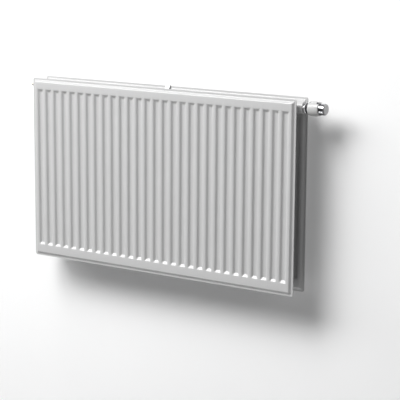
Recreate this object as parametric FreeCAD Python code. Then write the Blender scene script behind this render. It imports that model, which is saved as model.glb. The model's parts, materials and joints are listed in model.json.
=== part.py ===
import FreeCAD, Part
import math
import os
from FreeCAD import Vector

# Double-panel steel radiator with a built-in thermostatic valve.
# Millimetres. X runs along the radiator, Z is up and the front faces -Y.
# The origin is on the wall plane, in the middle of the four wall fixings.

# ---------------------------------------------------------------- driving dimensions
LENGTH = 1000.0
HEIGHT = 600.0
SHEET = 1.25
PANEL_SPACING = 70.0            # front weld plane to rear weld plane
WALL_GAP = 34.0                 # wall to the rearmost face of the rear panel

RISE = 6.0                      # how far a sheet's face stands out of its seam flange
FLANGE = 6.5                    # width of the welded seam flange round each panel
BEVEL = 6.0                     # width of the slope from flange to face

CHANNEL_PITCH = LENGTH / 30.0   # 30 water channels, so 29 grooves between them
GROOVES = 29
GROOVE_MOUTH = 23.2
GROOVE_FLOOR = 12.2
GROOVE_END_SLOPE = 8.0
GROOVE_TOP = 564.5              # heights above the bottom edge
GROOVE_BOTTOM = 39.0
SHORT_GROOVE_TOP = 540.0        # the inner sheets' end grooves stop short of the corner tees
SHORT_GROOVE_BOTTOM = 60.0

TAPPING_INSET = 27.0            # tapping centres from the top and bottom edges
TEE_INSET = 30.0                # corner tees from the ends of the panel
RETURN_INSET = 50.0             # the return's cross tube from the right end, on a channel
TEE_TUBE_R = 14.0
TEE_TUBE_BORE_R = 11.0
BOSS_R = 19.5
BOSS_OUT = 9.0                  # how far a boss stands past the end of the panels
CAST_WALL = 4.0
TAPPING_R = 10.5                # G1/2 thread, drawn plain

STUB_SPACING = 50.0             # supply and return, centre to centre
STUB_R = 13.2                   # G3/4 male
STUB_THREAD = 12.0              # length of its thread, drawn plain
STUB_NECK_R = 12.0              # the relief above the thread
STUB_BORE_R = 8.0
STUB_BELOW = 5.0                # how far the stubs reach below the bottom edge
RISER_R = 8.0
RISER_WALL = 1.5
RISER_END = 12.0                # how near its ends come to the tapping axes

PLUG_FLANGE_R = 13.7
SEAL_R = 12.7
SEAL = 1.5                      # thickness of a plug's seal

BRACKET_X = 350.0
FIXING_Z = 200.0
FIXING_HOLE_R = 4.5
RAIL_WIDTH = 30.0
RAIL_DEPTH = 12.0
RAIL_SHEET = 2.0
RAIL_BOTTOM = -262.0
RAIL_TOP = 236.0

HEAD_R = 22.5                   # widest radius of the white shell
GRIP_R = 17.5
GRIP_FLUTES = 6
GRIP_START = 62.3               # along the head, from the end of the panels
GRIP_END = 78.0
HEAD_END = 81.5
VALVE_TRAVEL = 2.0

RUNNING = 0.05                  # radial clearance of a running fit
CLEAR = 0.3                     # clearance between parts that only pass each other
OVER = 1.0                      # how far a cutting tool runs past the face that it opens

# ---------------------------------------------------------------- derived places
HALF = LENGTH / 2.0
TOP = HEIGHT / 2.0
PANEL_HALF_DEPTH = RISE + SHEET
REAR_WELD_Y = -(WALL_GAP + PANEL_HALF_DEPTH)
FRONT_WELD_Y = REAR_WELD_Y - PANEL_SPACING
AXIS_Y = (REAR_WELD_Y + FRONT_WELD_Y) / 2.0
GAP_HALF = PANEL_SPACING / 2.0 - PANEL_HALF_DEPTH
UPPER_Z = TOP - TAPPING_INSET
LOWER_Z = -TOP + TAPPING_INSET
TEE_X = HALF - TEE_INSET
RETURN_X = HALF - RETURN_INSET
SUPPLY_X = RETURN_X - STUB_SPACING
CROSS_TUBES = [(-TEE_X, LOWER_Z), (-TEE_X, UPPER_Z), (TEE_X, UPPER_Z), (RETURN_X, LOWER_Z)]

X_AXIS = Vector(1, 0, 0)
Y_AXIS = Vector(0, 1, 0)
Z_AXIS = Vector(0, 0, 1)
PARTS = {}


# ---------------------------------------------------------------- helpers
def box(x0, x1, y0, y1, z0, z1):
    """A box from its two limits on each axis."""
    return Part.makeBox(x1 - x0, y1 - y0, z1 - z0, Vector(x0, y0, z0))


def cyl_x(radius, x0, x1, y=AXIS_Y, z=UPPER_Z):
    return Part.makeCylinder(radius, x1 - x0, Vector(x0, y, z), X_AXIS)


def cyl_y(radius, y0, y1, x, z):
    return Part.makeCylinder(radius, y1 - y0, Vector(x, y0, z), Y_AXIS)


def cyl_z(radius, z0, z1, x, y=AXIS_Y):
    return Part.makeCylinder(radius, z1 - z0, Vector(x, y, z0), Z_AXIS)


def ring_x(outer, inner, x0, x1, y=AXIS_Y, z=UPPER_Z):
    return cyl_x(outer, x0, x1, y, z).cut(cyl_x(inner, x0 - OVER, x1 + OVER, y, z))


def turned(profile, y=AXIS_Y, z=UPPER_Z):
    """A solid of revolution about X from (x, radius) points."""
    points = [Vector(x, y, z + radius) for x, radius in profile]
    points.append(points[0])
    face = Part.Face(Part.makePolygon(points))
    return face.revolve(Vector(0, y, z), X_AXIS, 360)


def hexagon(across_flats, x0, x1, y=AXIS_Y, z=UPPER_Z):
    corner = across_flats / math.sqrt(3.0)
    points = []
    for k in range(7):
        angle = math.radians(60 * k)
        points.append(Vector(x0, y + corner * math.sin(angle), z + corner * math.cos(angle)))
    return Part.Face(Part.makePolygon(points)).extrude(Vector(x1 - x0, 0, 0))


def plate_yz(points, x0, x1):
    """A bent plate: its outline in Y and Z, extruded along X."""
    corners = [Vector(x0, y, z) for y, z in points]
    corners.append(corners[0])
    return Part.Face(Part.makePolygon(corners)).extrude(Vector(x1 - x0, 0, 0))


def coil_x(radius, wire, x0, x1, turns, z=UPPER_Z):
    """A helical spring about the valve axis, with its wire inside x0 to x1."""
    length = x1 - x0 - 2 * wire
    pitch = length / turns
    helix = Part.makeLongHelix(pitch, length, radius)
    climb = Vector(0, 2 * math.pi * radius, pitch)
    section = Part.Wire(Part.makeCircle(wire / 2.0, Vector(radius, 0, 0), climb))
    spring = helix.makePipeShell([section], True, True)
    spring.rotate(Vector(0, 0, 0), Y_AXIS, 90)
    spring.translate(Vector(x0 + wire, AXIS_Y, z))
    return spring


def mirror_y(shape):
    return shape.mirror(Vector(0, 0, 0), Y_AXIS)


def frustum(width0, height0, y0, width1, height1, y1):
    """A block centred on the panel whose outline tapers from y0 to y1."""
    def outline(width, height, y):
        half_w = width / 2.0
        half_h = height / 2.0
        corners = [(-half_w, -half_h), (half_w, -half_h), (half_w, half_h), (-half_w, half_h)]
        points = [Vector(x, y, z) for x, z in corners]
        return Part.makePolygon(points + [points[0]])
    return Part.makeLoft([outline(width0, height0, y0), outline(width1, height1, y1)], True, True)


def groove_tool(x, bottom, top):
    """The space of one pressed groove, from the face down to the flange's level."""
    flare = (GROOVE_MOUTH - GROOVE_FLOOR) / 2.0 / RISE
    end_flare = GROOVE_END_SLOPE / RISE
    floor_w = GROOVE_FLOOR
    floor_h = top - bottom - 2 * GROOVE_END_SLOPE
    mouth_w = floor_w + 2 * flare * (RISE + OVER)
    mouth_h = floor_h + 2 * end_flare * (RISE + OVER)
    tool = frustum(mouth_w, mouth_h, -RISE - OVER, floor_w, floor_h, 0)
    tool.translate(Vector(x, 0, (bottom + top) / 2.0 - TOP))
    return tool


# ---------------------------------------------------------------- pressed sheets
def pressed_block(clears_tees):
    """The sheet's outer form as a block: the flange face at y = 0, the faces at -RISE."""
    backing = 4 * SHEET
    block = box(-HALF, HALF, 0, backing, -TOP, TOP)
    field_w = LENGTH - 2 * FLANGE
    field_h = HEIGHT - 2 * FLANGE
    face_w = field_w - 2 * BEVEL
    face_h = field_h - 2 * BEVEL
    block = block.fuse(frustum(field_w, field_h, 0, face_w, face_h, -RISE))
    tools = []
    for k in range(GROOVES):
        x = (k - (GROOVES - 1) / 2.0) * CHANNEL_PITCH
        at_left = clears_tees and k == 0
        at_right = clears_tees and k == GROOVES - 1
        bottom = SHORT_GROOVE_BOTTOM if at_left else GROOVE_BOTTOM
        top = SHORT_GROOVE_TOP if at_left or at_right else GROOVE_TOP
        tools.append(groove_tool(x, bottom, top))
    return block.cut(Part.makeCompound(tools))


def pressed_sheet(clears_tees):
    """A pressed steel sheet facing -Y, with the back of its flange on y = 0."""
    block = pressed_block(clears_tees)
    behind = block.copy()
    behind.translate(Vector(0, SHEET, 0))
    waste = box(-HALF - OVER, HALF + OVER, SHEET, 6 * SHEET, -TOP - OVER, TOP + OVER)
    sheet = block.cut(behind).cut(waste)
    sheet.translate(Vector(0, -SHEET, 0))
    return sheet


def tee_holes():
    """Holes in an inner sheet for the four cross tubes, as tall cylinders about y = 0."""
    reach = 2 * PANEL_HALF_DEPTH
    return Part.makeCompound([cyl_y(TEE_TUBE_BORE_R, -reach, reach, x, z) for x, z in CROSS_TUBES])


def add_panels():
    outer = pressed_sheet(False)
    inner = pressed_sheet(True).cut(tee_holes())
    front_outer = outer.copy()
    front_outer.translate(Vector(0, FRONT_WELD_Y, 0))
    front_inner = mirror_y(inner)
    front_inner.translate(Vector(0, FRONT_WELD_Y, 0))
    rear_inner = inner.copy()
    rear_inner.translate(Vector(0, REAR_WELD_Y, 0))
    rear_outer = mirror_y(outer)
    rear_outer.translate(Vector(0, REAR_WELD_Y, 0))
    PARTS["front_panel_outer_sheet"] = front_outer
    PARTS["front_panel_inner_sheet"] = front_inner
    PARTS["rear_panel_inner_sheet"] = rear_inner
    PARTS["rear_panel_outer_sheet"] = rear_outer


# ---------------------------------------------------------------- water connections
def cross_tube(x, z):
    return cyl_y(TEE_TUBE_R, AXIS_Y - GAP_HALF, AXIS_Y + GAP_HALF, x, z)


def cross_bore(x, z):
    return cyl_y(TEE_TUBE_BORE_R, AXIS_Y - GAP_HALF - OVER, AXIS_Y + GAP_HALF + OVER, x, z)


def corner_tee(z):
    """A tee on the left: a cross tube between the panels and a tapping that faces -X."""
    back = -TEE_X + BOSS_R
    mouth = -HALF - BOSS_OUT
    body = cyl_x(BOSS_R, mouth, back, z=z).fuse(cross_tube(-TEE_X, z))
    chamber = cyl_x(TAPPING_R, mouth - OVER, back - CAST_WALL, z=z)
    return body.cut(chamber.fuse(cross_bore(-TEE_X, z)))


SEAT_X = HALF - 38.0
SEAT_BORE = 14.0                # length of the bore behind the seat
CHAMBER_R = 11.0
SEAT_R = 6.0
INLET_R = 14.0


def valve_housing():
    """The top right tee. Water comes up the riser, through the seat and into both panels."""
    mouth = HALF + BOSS_OUT
    inlet_back = SUPPLY_X - INLET_R
    shoulder = SEAT_X - SEAT_BORE + 2.0
    body = cyl_x(BOSS_R, shoulder, mouth).fuse(cyl_x(INLET_R, inlet_back, shoulder))
    body = body.fuse(cross_tube(TEE_X, UPPER_Z))
    space = cyl_x(CHAMBER_R, SEAT_X, mouth + OVER)
    space = space.fuse(cyl_x(SEAT_R, SEAT_X - SEAT_BORE - OVER, SEAT_X + OVER))
    space = space.fuse(cyl_x(INLET_R - CAST_WALL, inlet_back + CAST_WALL, SEAT_X - SEAT_BORE))
    space = space.fuse(cross_bore(TEE_X, UPPER_Z))
    space = space.fuse(cyl_z(RISER_R, UPPER_Z - BOSS_R - OVER, UPPER_Z, SUPPLY_X))
    return body.cut(space)


BLOCK_R = 17.0
BLOCK_BACK = SUPPLY_X - BLOCK_R
BLOCK_END = RETURN_X + BLOCK_R
BLOCK_WALL = 3.0                # half the wall between its supply and return sides


def connection_block():
    """The bottom right fitting: supply up to the riser, return down from both panels."""
    body = cyl_x(BLOCK_R, BLOCK_BACK, BLOCK_END, z=LOWER_Z).fuse(cross_tube(RETURN_X, LOWER_Z))
    stub_end = -TOP - STUB_BELOW
    neck_start = stub_end + STUB_THREAD
    for x in (SUPPLY_X, RETURN_X):
        body = body.fuse(cyl_z(STUB_R, stub_end, neck_start, x))
        body = body.fuse(cyl_z(STUB_NECK_R, neck_start, LOWER_Z, x))
    middle = (SUPPLY_X + RETURN_X) / 2.0
    supply = cyl_x(TAPPING_R, BLOCK_BACK + BLOCK_WALL, middle - BLOCK_WALL, z=LOWER_Z)
    back = cyl_x(TAPPING_R, middle + BLOCK_WALL, BLOCK_END + OVER, z=LOWER_Z)
    space = supply.fuse(back).fuse(cross_bore(RETURN_X, LOWER_Z))
    for x in (SUPPLY_X, RETURN_X):
        space = space.fuse(cyl_z(STUB_BORE_R, stub_end - OVER, LOWER_Z, x))
    space = space.fuse(cyl_z(RISER_R, LOWER_Z, LOWER_Z + BLOCK_R + OVER, SUPPLY_X))
    return body.cut(space)


def riser_pipe():
    """The pipe between the panels that lifts the supply to the valve housing."""
    bottom = LOWER_Z + RISER_END
    top = UPPER_Z - RISER_END
    outer = cyl_z(RISER_R, bottom, top, SUPPLY_X)
    return outer.cut(cyl_z(RISER_R - RISER_WALL, bottom - OVER, top + OVER, SUPPLY_X))


def blank_plug(mouth, inward, z):
    """A screwed plug in a tapping. inward is +1 when the tapping runs towards +X."""
    thread_len = 16.0
    flange = 3.0
    socket_af = 10.0
    socket_depth = 6.0
    x_seal = mouth - inward * SEAL
    x_flange = x_seal - inward * flange
    lows = sorted((x_seal, mouth + inward * thread_len))
    plug = cyl_x(TAPPING_R - RUNNING, lows[0], lows[1], z=z)
    ends = sorted((x_flange, x_seal))
    plug = plug.fuse(cyl_x(PLUG_FLANGE_R, ends[0], ends[1], z=z))
    reach = sorted((x_flange - inward * OVER, mouth + inward * socket_depth))
    return plug.cut(hexagon(socket_af, reach[0], reach[1], z=z))


def plug_seal(mouth, inward, z):
    ends = sorted((mouth - inward * SEAL, mouth))
    return ring_x(SEAL_R, TAPPING_R, ends[0], ends[1], z=z)


def add_waterways():
    left_mouth = -HALF - BOSS_OUT
    PARTS["valve_housing"] = valve_housing()
    PARTS["vent_tee"] = corner_tee(UPPER_Z)
    PARTS["blank_tee"] = corner_tee(LOWER_Z)
    PARTS["connection_block"] = connection_block()
    PARTS["riser_pipe"] = riser_pipe()
    PARTS["blank_plug"] = blank_plug(left_mouth, 1, LOWER_Z)
    PARTS["blank_plug_seal"] = plug_seal(left_mouth, 1, LOWER_Z)
    PARTS["drain_plug"] = blank_plug(BLOCK_END, -1, LOWER_Z)
    PARTS["drain_plug_seal"] = plug_seal(BLOCK_END, -1, LOWER_Z)


# ---------------------------------------------------------------- air vent
SPOUT_R = 9.5
SPOUT_START = 15.3              # distances out from the left end of the panels
SPOUT_STOP = 23.7
SPOUT_BORE_R = 7.0
SPOUT_RIM = 1.8                 # thickness of the rim that keeps the spout on
NOZZLE_R = 3.2
NOZZLE_BORE_R = 1.5
NOZZLE_REACH = 7.0              # beyond the collar
VENT_HEX = 22.0                 # across flats
VENT_THREAD = 16.0
VENT_SCREW_R = 2.5
VENT_HEAD_R = 4.0


def vent_plug():
    """The nickel-plated plug: thread, hexagon, the neck that the spout turns on and a rim."""
    left = -HALF
    seat = left - BOSS_OUT - SEAL
    thread_end = left - BOSS_OUT + VENT_THREAD
    neck_start = left - SPOUT_START + CLEAR
    rim_start = left - SPOUT_STOP - CLEAR
    rim_end = rim_start - SPOUT_RIM
    port_r = 1.0
    plug = cyl_x(TAPPING_R - RUNNING, seat, thread_end)
    plug = plug.fuse(hexagon(VENT_HEX, neck_start, seat))
    plug = plug.fuse(cyl_x(SPOUT_BORE_R, rim_start, neck_start))
    plug = plug.fuse(cyl_x(SPOUT_BORE_R + 1.0, rim_end, rim_start))
    bore = cyl_x(VENT_SCREW_R + RUNNING, rim_end - OVER, thread_end + OVER)
    port = cyl_z(port_r, UPPER_Z - SPOUT_BORE_R - OVER, UPPER_Z, left - (SPOUT_START + SPOUT_STOP) / 2.0)
    return plug.cut(bore.fuse(port))


def vent_spout():
    """The collar that swivels on the plug, with a nozzle that points down at rest."""
    left = -HALF
    middle = left - (SPOUT_START + SPOUT_STOP) / 2.0
    collar = cyl_x(SPOUT_R, left - SPOUT_STOP, left - SPOUT_START)
    tip = UPPER_Z - SPOUT_R - NOZZLE_REACH
    nozzle = cyl_z(NOZZLE_R, tip, UPPER_Z - SPOUT_BORE_R, middle)
    hole = cyl_z(NOZZLE_BORE_R, tip - OVER, UPPER_Z, middle)
    bore = cyl_x(SPOUT_BORE_R + RUNNING, left - SPOUT_STOP - OVER, left - SPOUT_START + OVER)
    return collar.fuse(nozzle).cut(bore.fuse(hole))


def vent_screw():
    """The bleed screw: a stem in the plug and a slotted head outside it."""
    left = -HALF
    head_start = left - 28.0
    head_end = left - 34.5
    slot_depth = 1.6
    slot_half = 0.6
    stem_end = left - 3.0
    screw = cyl_x(VENT_SCREW_R, head_start, stem_end)
    screw = screw.fuse(cyl_x(VENT_HEAD_R, head_end, head_start))
    slot = box(head_end - OVER, head_end + slot_depth, AXIS_Y - slot_half, AXIS_Y + slot_half,
               UPPER_Z - VENT_HEAD_R - OVER, UPPER_Z + VENT_HEAD_R + OVER)
    return screw.cut(slot)


def add_air_vent():
    PARTS["vent_plug"] = vent_plug()
    PARTS["vent_plug_seal"] = plug_seal(-HALF - BOSS_OUT, 1, UPPER_Z)
    PARTS["vent_spout"] = vent_spout()
    PARTS["vent_screw"] = vent_screw()


# ---------------------------------------------------------------- valve insert
SPINDLE_R = 2.0
INSERT_START = HALF - 20.0
COLLAR_START = HALF + BOSS_OUT
COLLAR_END = COLLAR_START + 5.0
NOSE_END = COLLAR_END + 5.0
SPINDLE_END = HALF + 24.0
COLLAR_R = 15.0                 # M30 thread for the head, drawn plain
NOSE_R = 6.0
SPRING_POCKET_R = 7.5
SPRING_POCKET_END = HALF - 8.0


def valve_insert():
    """The brass cartridge in the housing, with a pocket for the spring and a guide nose."""
    body = turned([
        (INSERT_START, SPINDLE_R + RUNNING),
        (INSERT_START, CHAMBER_R - RUNNING),
        (COLLAR_START, CHAMBER_R - RUNNING),
        (COLLAR_START, COLLAR_R),
        (COLLAR_END, COLLAR_R),
        (COLLAR_END, NOSE_R),
        (NOSE_END, NOSE_R),
        (NOSE_END, SPINDLE_R + RUNNING),
    ])
    return body.cut(cyl_x(SPRING_POCKET_R, INSERT_START - OVER, SPRING_POCKET_END))


def insert_seal():
    """The O-ring that seals the cartridge in the housing, in a groove of its own."""
    middle = HALF - 2.0
    half_width = 1.0
    groove_r = CHAMBER_R - 1.8
    return ring_x(CHAMBER_R - RUNNING, groove_r, middle - half_width, middle + half_width)


def preset_ring():
    """The flow-presetting crown that turns on the insert's nose, with a notched rim."""
    outer = 11.0
    notches = 12
    notch_r = 0.9
    start = COLLAR_END + CLEAR
    end = start + 3.0
    ring = ring_x(outer, NOSE_R + RUNNING, start, end)
    for k in range(notches):
        angle = 2 * math.pi * k / notches
        y = AXIS_Y + outer * math.sin(angle)
        z = UPPER_Z + outer * math.cos(angle)
        ring = ring.cut(cyl_x(notch_r, start - OVER, end + OVER, y, z))
    return ring


DISC_R = 7.5
DISC_THICK = 3.0
HOLDER_R = 7.0
HOLDER_THICK = 2.0
RETURN_TURNS = 6


def valve_spindle():
    """The stem that the head pushes: closed at rest, and 2 mm further out when open."""
    disc_back = SEAT_X + RUNNING + DISC_THICK
    stem = cyl_x(SPINDLE_R, disc_back, SPINDLE_END)
    return stem.fuse(cyl_x(HOLDER_R, disc_back, disc_back + HOLDER_THICK))


def valve_disc():
    return cyl_x(DISC_R, SEAT_X + RUNNING, SEAT_X + RUNNING + DISC_THICK)


def return_spring():
    """The spring that opens the valve, drawn at the length it has when the valve is open."""
    holder_back = SEAT_X + RUNNING + DISC_THICK + HOLDER_THICK
    mean_r = 5.0
    wire = 1.0
    return coil_x(mean_r, wire, holder_back + VALVE_TRAVEL + RUNNING, SPRING_POCKET_END, RETURN_TURNS)


def add_valve():
    seal = insert_seal()
    PARTS["valve_insert"] = valve_insert().cut(seal)
    PARTS["valve_insert_seal"] = seal
    PARTS["preset_ring"] = preset_ring()
    PARTS["valve_spindle"] = valve_spindle()
    PARTS["valve_disc"] = valve_disc()
    PARTS["return_spring"] = return_spring()


# ---------------------------------------------------------------- thermostatic head
NUT_END = HALF + 18.0
NUT_LIP = 1.8
SHELL_START = HALF + 25.5
SHELL_END = HALF + 62.0
SHELL_BORE_R = 17.0
ADAPTER_BORE_R = 12.0
CARRIER_R = 13.0
CORE_R = 15.0
CARRIER_START = HALF + 35.5
CARRIER_END = HALF + 57.0
CARRIER_WALL = 1.2
CARRIER_FLOOR = 2.0
CAPSULE_R = 11.6
CAPSULE_LENGTH = 12.0
PUSH_ROD_R = 3.0
LID = 1.5
SPIGOT_R = 14.0
SLEEVE_R = 16.0
SLEEVE_NECK_R = 13.0
OVERTRAVEL_TURNS = 2


def union_nut():
    """The nut that holds the head on the insert's thread."""
    across_flats = 33.0
    corner_r = 18.6
    face_r = 17.0
    chamfer = 1.5
    nut = hexagon(across_flats, COLLAR_START + 0.2, NUT_END)
    rounding = turned([
        (COLLAR_START, 0), (COLLAR_START, face_r), (COLLAR_START + chamfer, corner_r),
        (NUT_END - chamfer, corner_r), (NUT_END, face_r), (NUT_END, 0),
    ])
    nut = nut.common(rounding)
    nut = nut.cut(cyl_x(COLLAR_R + RUNNING, COLLAR_START - OVER, NUT_END - NUT_LIP))
    return nut.cut(cyl_x(SLEEVE_NECK_R + 0.1, NUT_END - NUT_LIP - OVER, NUT_END + OVER))


def adapter_sleeve():
    """The dark sleeve between nut and shell: a flange in the nut, a neck and a spigot."""
    flange_r = COLLAR_R - 0.1
    flange_end = NUT_END - NUT_LIP - RUNNING
    cup_start = NUT_END + 0.4
    spigot_end = SHELL_START + 5.0
    return turned([
        (COLLAR_END + RUNNING, ADAPTER_BORE_R),
        (COLLAR_END + RUNNING, flange_r),
        (flange_end, flange_r),
        (flange_end, SLEEVE_NECK_R),
        (cup_start, SLEEVE_NECK_R),
        (cup_start, SLEEVE_R),
        (SHELL_START, SLEEVE_R),
        (SHELL_START, SPIGOT_R),
        (spigot_end, SPIGOT_R),
        (spigot_end, ADAPTER_BORE_R),
    ])


def head_shell():
    """The white barrel that stays still while the grip turns."""
    wall_end = SHELL_START + 2.5
    arc_start = SHELL_START + 1.5
    arc_end = SHELL_END - 1.0
    fullest = (SHELL_START + SHELL_END) / 2.0 + 2.0
    start_r = 20.3
    end_r = 20.0
    mouth_r = 19.0
    arc = Part.Arc(Vector(arc_start, AXIS_Y, UPPER_Z + start_r),
                   Vector(fullest, AXIS_Y, UPPER_Z + HEAD_R),
                   Vector(arc_end, AXIS_Y, UPPER_Z + end_r)).toShape()
    points = [
        (arc_end, end_r), (SHELL_END, mouth_r), (SHELL_END, SHELL_BORE_R),
        (wall_end, SHELL_BORE_R), (wall_end, SPIGOT_R + RUNNING), (SHELL_START, SPIGOT_R + RUNNING),
        (SHELL_START, mouth_r), (arc_start, start_r),
    ]
    polygon = Part.makePolygon([Vector(x, AXIS_Y, UPPER_Z + r) for x, r in points])
    face = Part.Face(Part.Wire([arc] + polygon.Edges))
    shell = face.revolve(Vector(0, AXIS_Y, UPPER_Z), X_AXIS, 360)
    return shell.cut(index_slot())


INDEX_ANGLE = 60.0              # from the front, upwards
INDEX_WIDTH = 3.4
INDEX_START = SHELL_END - 6.0
INDEX_FLOOR = UPPER_Z + HEAD_R - 3.6
INDEX_TOP = UPPER_Z + HEAD_R + 2.0


def turn_up(shape):
    """Turns a shape built on top of the valve axis to the index angle."""
    shape.rotate(Vector(0, AXIS_Y, UPPER_Z), X_AXIS, 90.0 - INDEX_ANGLE)
    return shape


def index_slot():
    half = INDEX_WIDTH / 2.0
    return turn_up(box(INDEX_START, SHELL_END + OVER, AXIS_Y - half, AXIS_Y + half,
                       INDEX_FLOOR, INDEX_TOP))


def setting_pointer():
    """The dark pointer in the shell's slot that the grip's setting is read against."""
    half = INDEX_WIDTH / 2.0 - RUNNING
    pointer = box(INDEX_START + RUNNING, SHELL_END, AXIS_Y - half, AXIS_Y + half,
                  INDEX_FLOOR + RUNNING, INDEX_TOP)
    skin = turned([
        (SHELL_START, 0), (SHELL_START, 22.0), ((SHELL_START + SHELL_END) / 2.0, HEAD_R + 0.2),
        (SHELL_END - 1.0, 20.4), (SHELL_END, 20.0), (SHELL_END, 0),
    ])
    return turn_up(pointer).common(skin)


def sensor_carrier():
    """The cage that the grip's thread drives along the axis."""
    floor = CARRIER_START + CARRIER_FLOOR
    cup = cyl_x(CARRIER_R, CARRIER_START, CARRIER_END)
    cup = cup.cut(cyl_x(CARRIER_R - CARRIER_WALL, floor, CARRIER_END + OVER))
    return cup.cut(cyl_x(PUSH_ROD_R + RUNNING, CARRIER_START - OVER, floor + OVER))


def sensor_capsule():
    """The sealed capsule that swells with warmth."""
    start = CARRIER_START + CARRIER_FLOOR
    return cyl_x(CAPSULE_R, start + RUNNING, start + CAPSULE_LENGTH)


def push_rod():
    return cyl_x(PUSH_ROD_R, SPINDLE_END + RUNNING, CARRIER_START + CARRIER_FLOOR)


def carrier_lid():
    """The disc pressed into the cage, which the overtravel spring pushes against."""
    return cyl_x(CARRIER_R - CARRIER_WALL - RUNNING, CARRIER_END - LID, CARRIER_END)


def overtravel_spring():
    mean_r = 9.0
    wire = 1.2
    start = CARRIER_START + CARRIER_FLOOR + CAPSULE_LENGTH
    return coil_x(mean_r, wire, start, CARRIER_END - LID, OVERTRAVEL_TURNS)


def grip_core():
    """The threaded sleeve in the shell: two ribs that run in its bore and a closed end."""
    bore_r = CARRIER_R + CLEAR
    start = HALF + 40.0
    wall_start = HALF + 66.0
    wall = 2.5
    rib = 3.0
    core = ring_x(CORE_R, bore_r, start, wall_start)
    core = core.fuse(cyl_x(CORE_R, wall_start, wall_start + wall))
    for rib_start in (start + 1.0, start + 18.0):
        core = core.fuse(ring_x(SHELL_BORE_R - RUNNING, bore_r, rib_start, rib_start + rib))
    return core


def grip_ring():
    """The chrome ring with broad flutes that the fingers turn."""
    start = HALF + GRIP_START
    end = HALF + GRIP_END
    chamfer = 1.0
    ring = turned([
        (start, CORE_R), (start, GRIP_R), (end - chamfer, GRIP_R), (end, GRIP_R - chamfer),
        (end, CORE_R),
    ])
    flute_r = 9.0
    flute_depth = 1.6
    land = 1.6
    centre_r = GRIP_R - flute_depth + flute_r
    for k in range(GRIP_FLUTES):
        angle = 2 * math.pi * k / GRIP_FLUTES
        y = AXIS_Y - centre_r * math.cos(angle)
        z = UPPER_Z + centre_r * math.sin(angle)
        ring = ring.cut(cyl_x(flute_r, start + land, end - land, y, z))
    return ring


def end_cap():
    """The satin cap that closes the grip."""
    start = HALF + GRIP_END
    stop = HALF + HEAD_END
    inner = start - 4.0
    rim_r = GRIP_R - 0.8
    crown_r = GRIP_R - 2.0
    face_r = GRIP_R - 4.0
    return turned([
        (inner, 0), (inner, CORE_R - RUNNING), (start, CORE_R - RUNNING), (start, rim_r),
        (stop - 1.6, rim_r), (stop - 0.4, crown_r), (stop, face_r), (stop, 0),
    ])


def add_head():
    PARTS["union_nut"] = union_nut()
    PARTS["adapter_sleeve"] = adapter_sleeve()
    PARTS["head_shell"] = head_shell()
    PARTS["setting_pointer"] = setting_pointer()
    PARTS["sensor_carrier"] = sensor_carrier()
    PARTS["sensor_capsule"] = sensor_capsule()
    PARTS["carrier_lid"] = carrier_lid()
    PARTS["push_rod"] = push_rod()
    PARTS["overtravel_spring"] = overtravel_spring()
    PARTS["grip_core"] = grip_core()
    PARTS["grip_ring"] = grip_ring()
    PARTS["end_cap"] = end_cap()


# ---------------------------------------------------------------- straps, lugs and brackets
STRAP_WIDTH = 16.0
STRAP_X = -5.0                   # the upper strap, a little left of the middle
STRAP_STEEL = 2.0


def spacer_strap():
    """The bent strap over the rear flange that holds the panels' tops apart."""
    half = STRAP_WIDTH / 2.0
    front = AXIS_Y - GAP_HALF
    rear = REAR_WELD_Y + SHEET + 1.0
    over = TOP + STRAP_STEEL
    low = TOP - 13.0
    bend = REAR_WELD_Y - 4.0
    foot = bend - 8.0
    leg = low - 18.0
    thick = STRAP_STEEL
    bend_shift = 1.2            # keeps the sloping stretch as thick as the rest
    return plate_yz([
        (rear, TOP), (rear, over), (bend, over), (foot, low), (front, low), (front, leg),
        (front + thick, leg), (front + thick, low - thick), (foot + bend_shift, low - thick),
        (bend + bend_shift, TOP),
    ], STRAP_X - half, STRAP_X + half)


def lower_strap():
    """The plain strap between the panels' lower channels."""
    half = STRAP_WIDTH / 2.0
    front = AXIS_Y - GAP_HALF
    rear = AXIS_Y + GAP_HALF
    low = LOWER_Z - 8.0
    high = LOWER_Z + 4.0
    thick = STRAP_STEEL
    return plate_yz([
        (front, low), (front + thick, low), (front + thick, high - thick), (rear - thick, high - thick),
        (rear - thick, low), (rear, low), (rear, high), (front, high),
    ], -half, half)


LUG_HALF = 38.0                 # wide enough to reach the lands on both sides
LUG_BRIDGE_HALF = 17.0
LUG_HEIGHT = 30.0
LUG_STEEL = 2.0
LUG_DEPTH = 7.5
UPPER_LUG_Z = 214.0
LOWER_LUG_Z = -246.0
LINER = 3.0
FINGER_FRONT = -WALL_GAP + 1.5
FINGER_BACK = FINGER_FRONT + 3.0
FINGER_RISE = 16.0              # above the bottom of the lug
TONGUE = 3.0


def hanging_lug(x, bottom):
    """A welded lug whose raised bridge drops over a bracket's finger."""
    face = -WALL_GAP
    top = bottom + LUG_HEIGHT
    bridge_y = face + LUG_DEPTH
    feet = box(x - LUG_HALF, x + LUG_HALF, face, face + LUG_STEEL, bottom, top)
    feet = feet.cut(box(x - LUG_BRIDGE_HALF, x + LUG_BRIDGE_HALF, face - OVER, bridge_y,
                        bottom - OVER, top + OVER))
    bridge = box(x - LUG_BRIDGE_HALF - LUG_STEEL, x + LUG_BRIDGE_HALF + LUG_STEEL,
                 face, bridge_y, bottom, top)
    pocket = box(x - LUG_BRIDGE_HALF, x + LUG_BRIDGE_HALF, face - OVER, bridge_y - LUG_STEEL,
                 bottom - OVER, top + OVER)
    return feet.fuse(bridge).cut(pocket)


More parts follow.
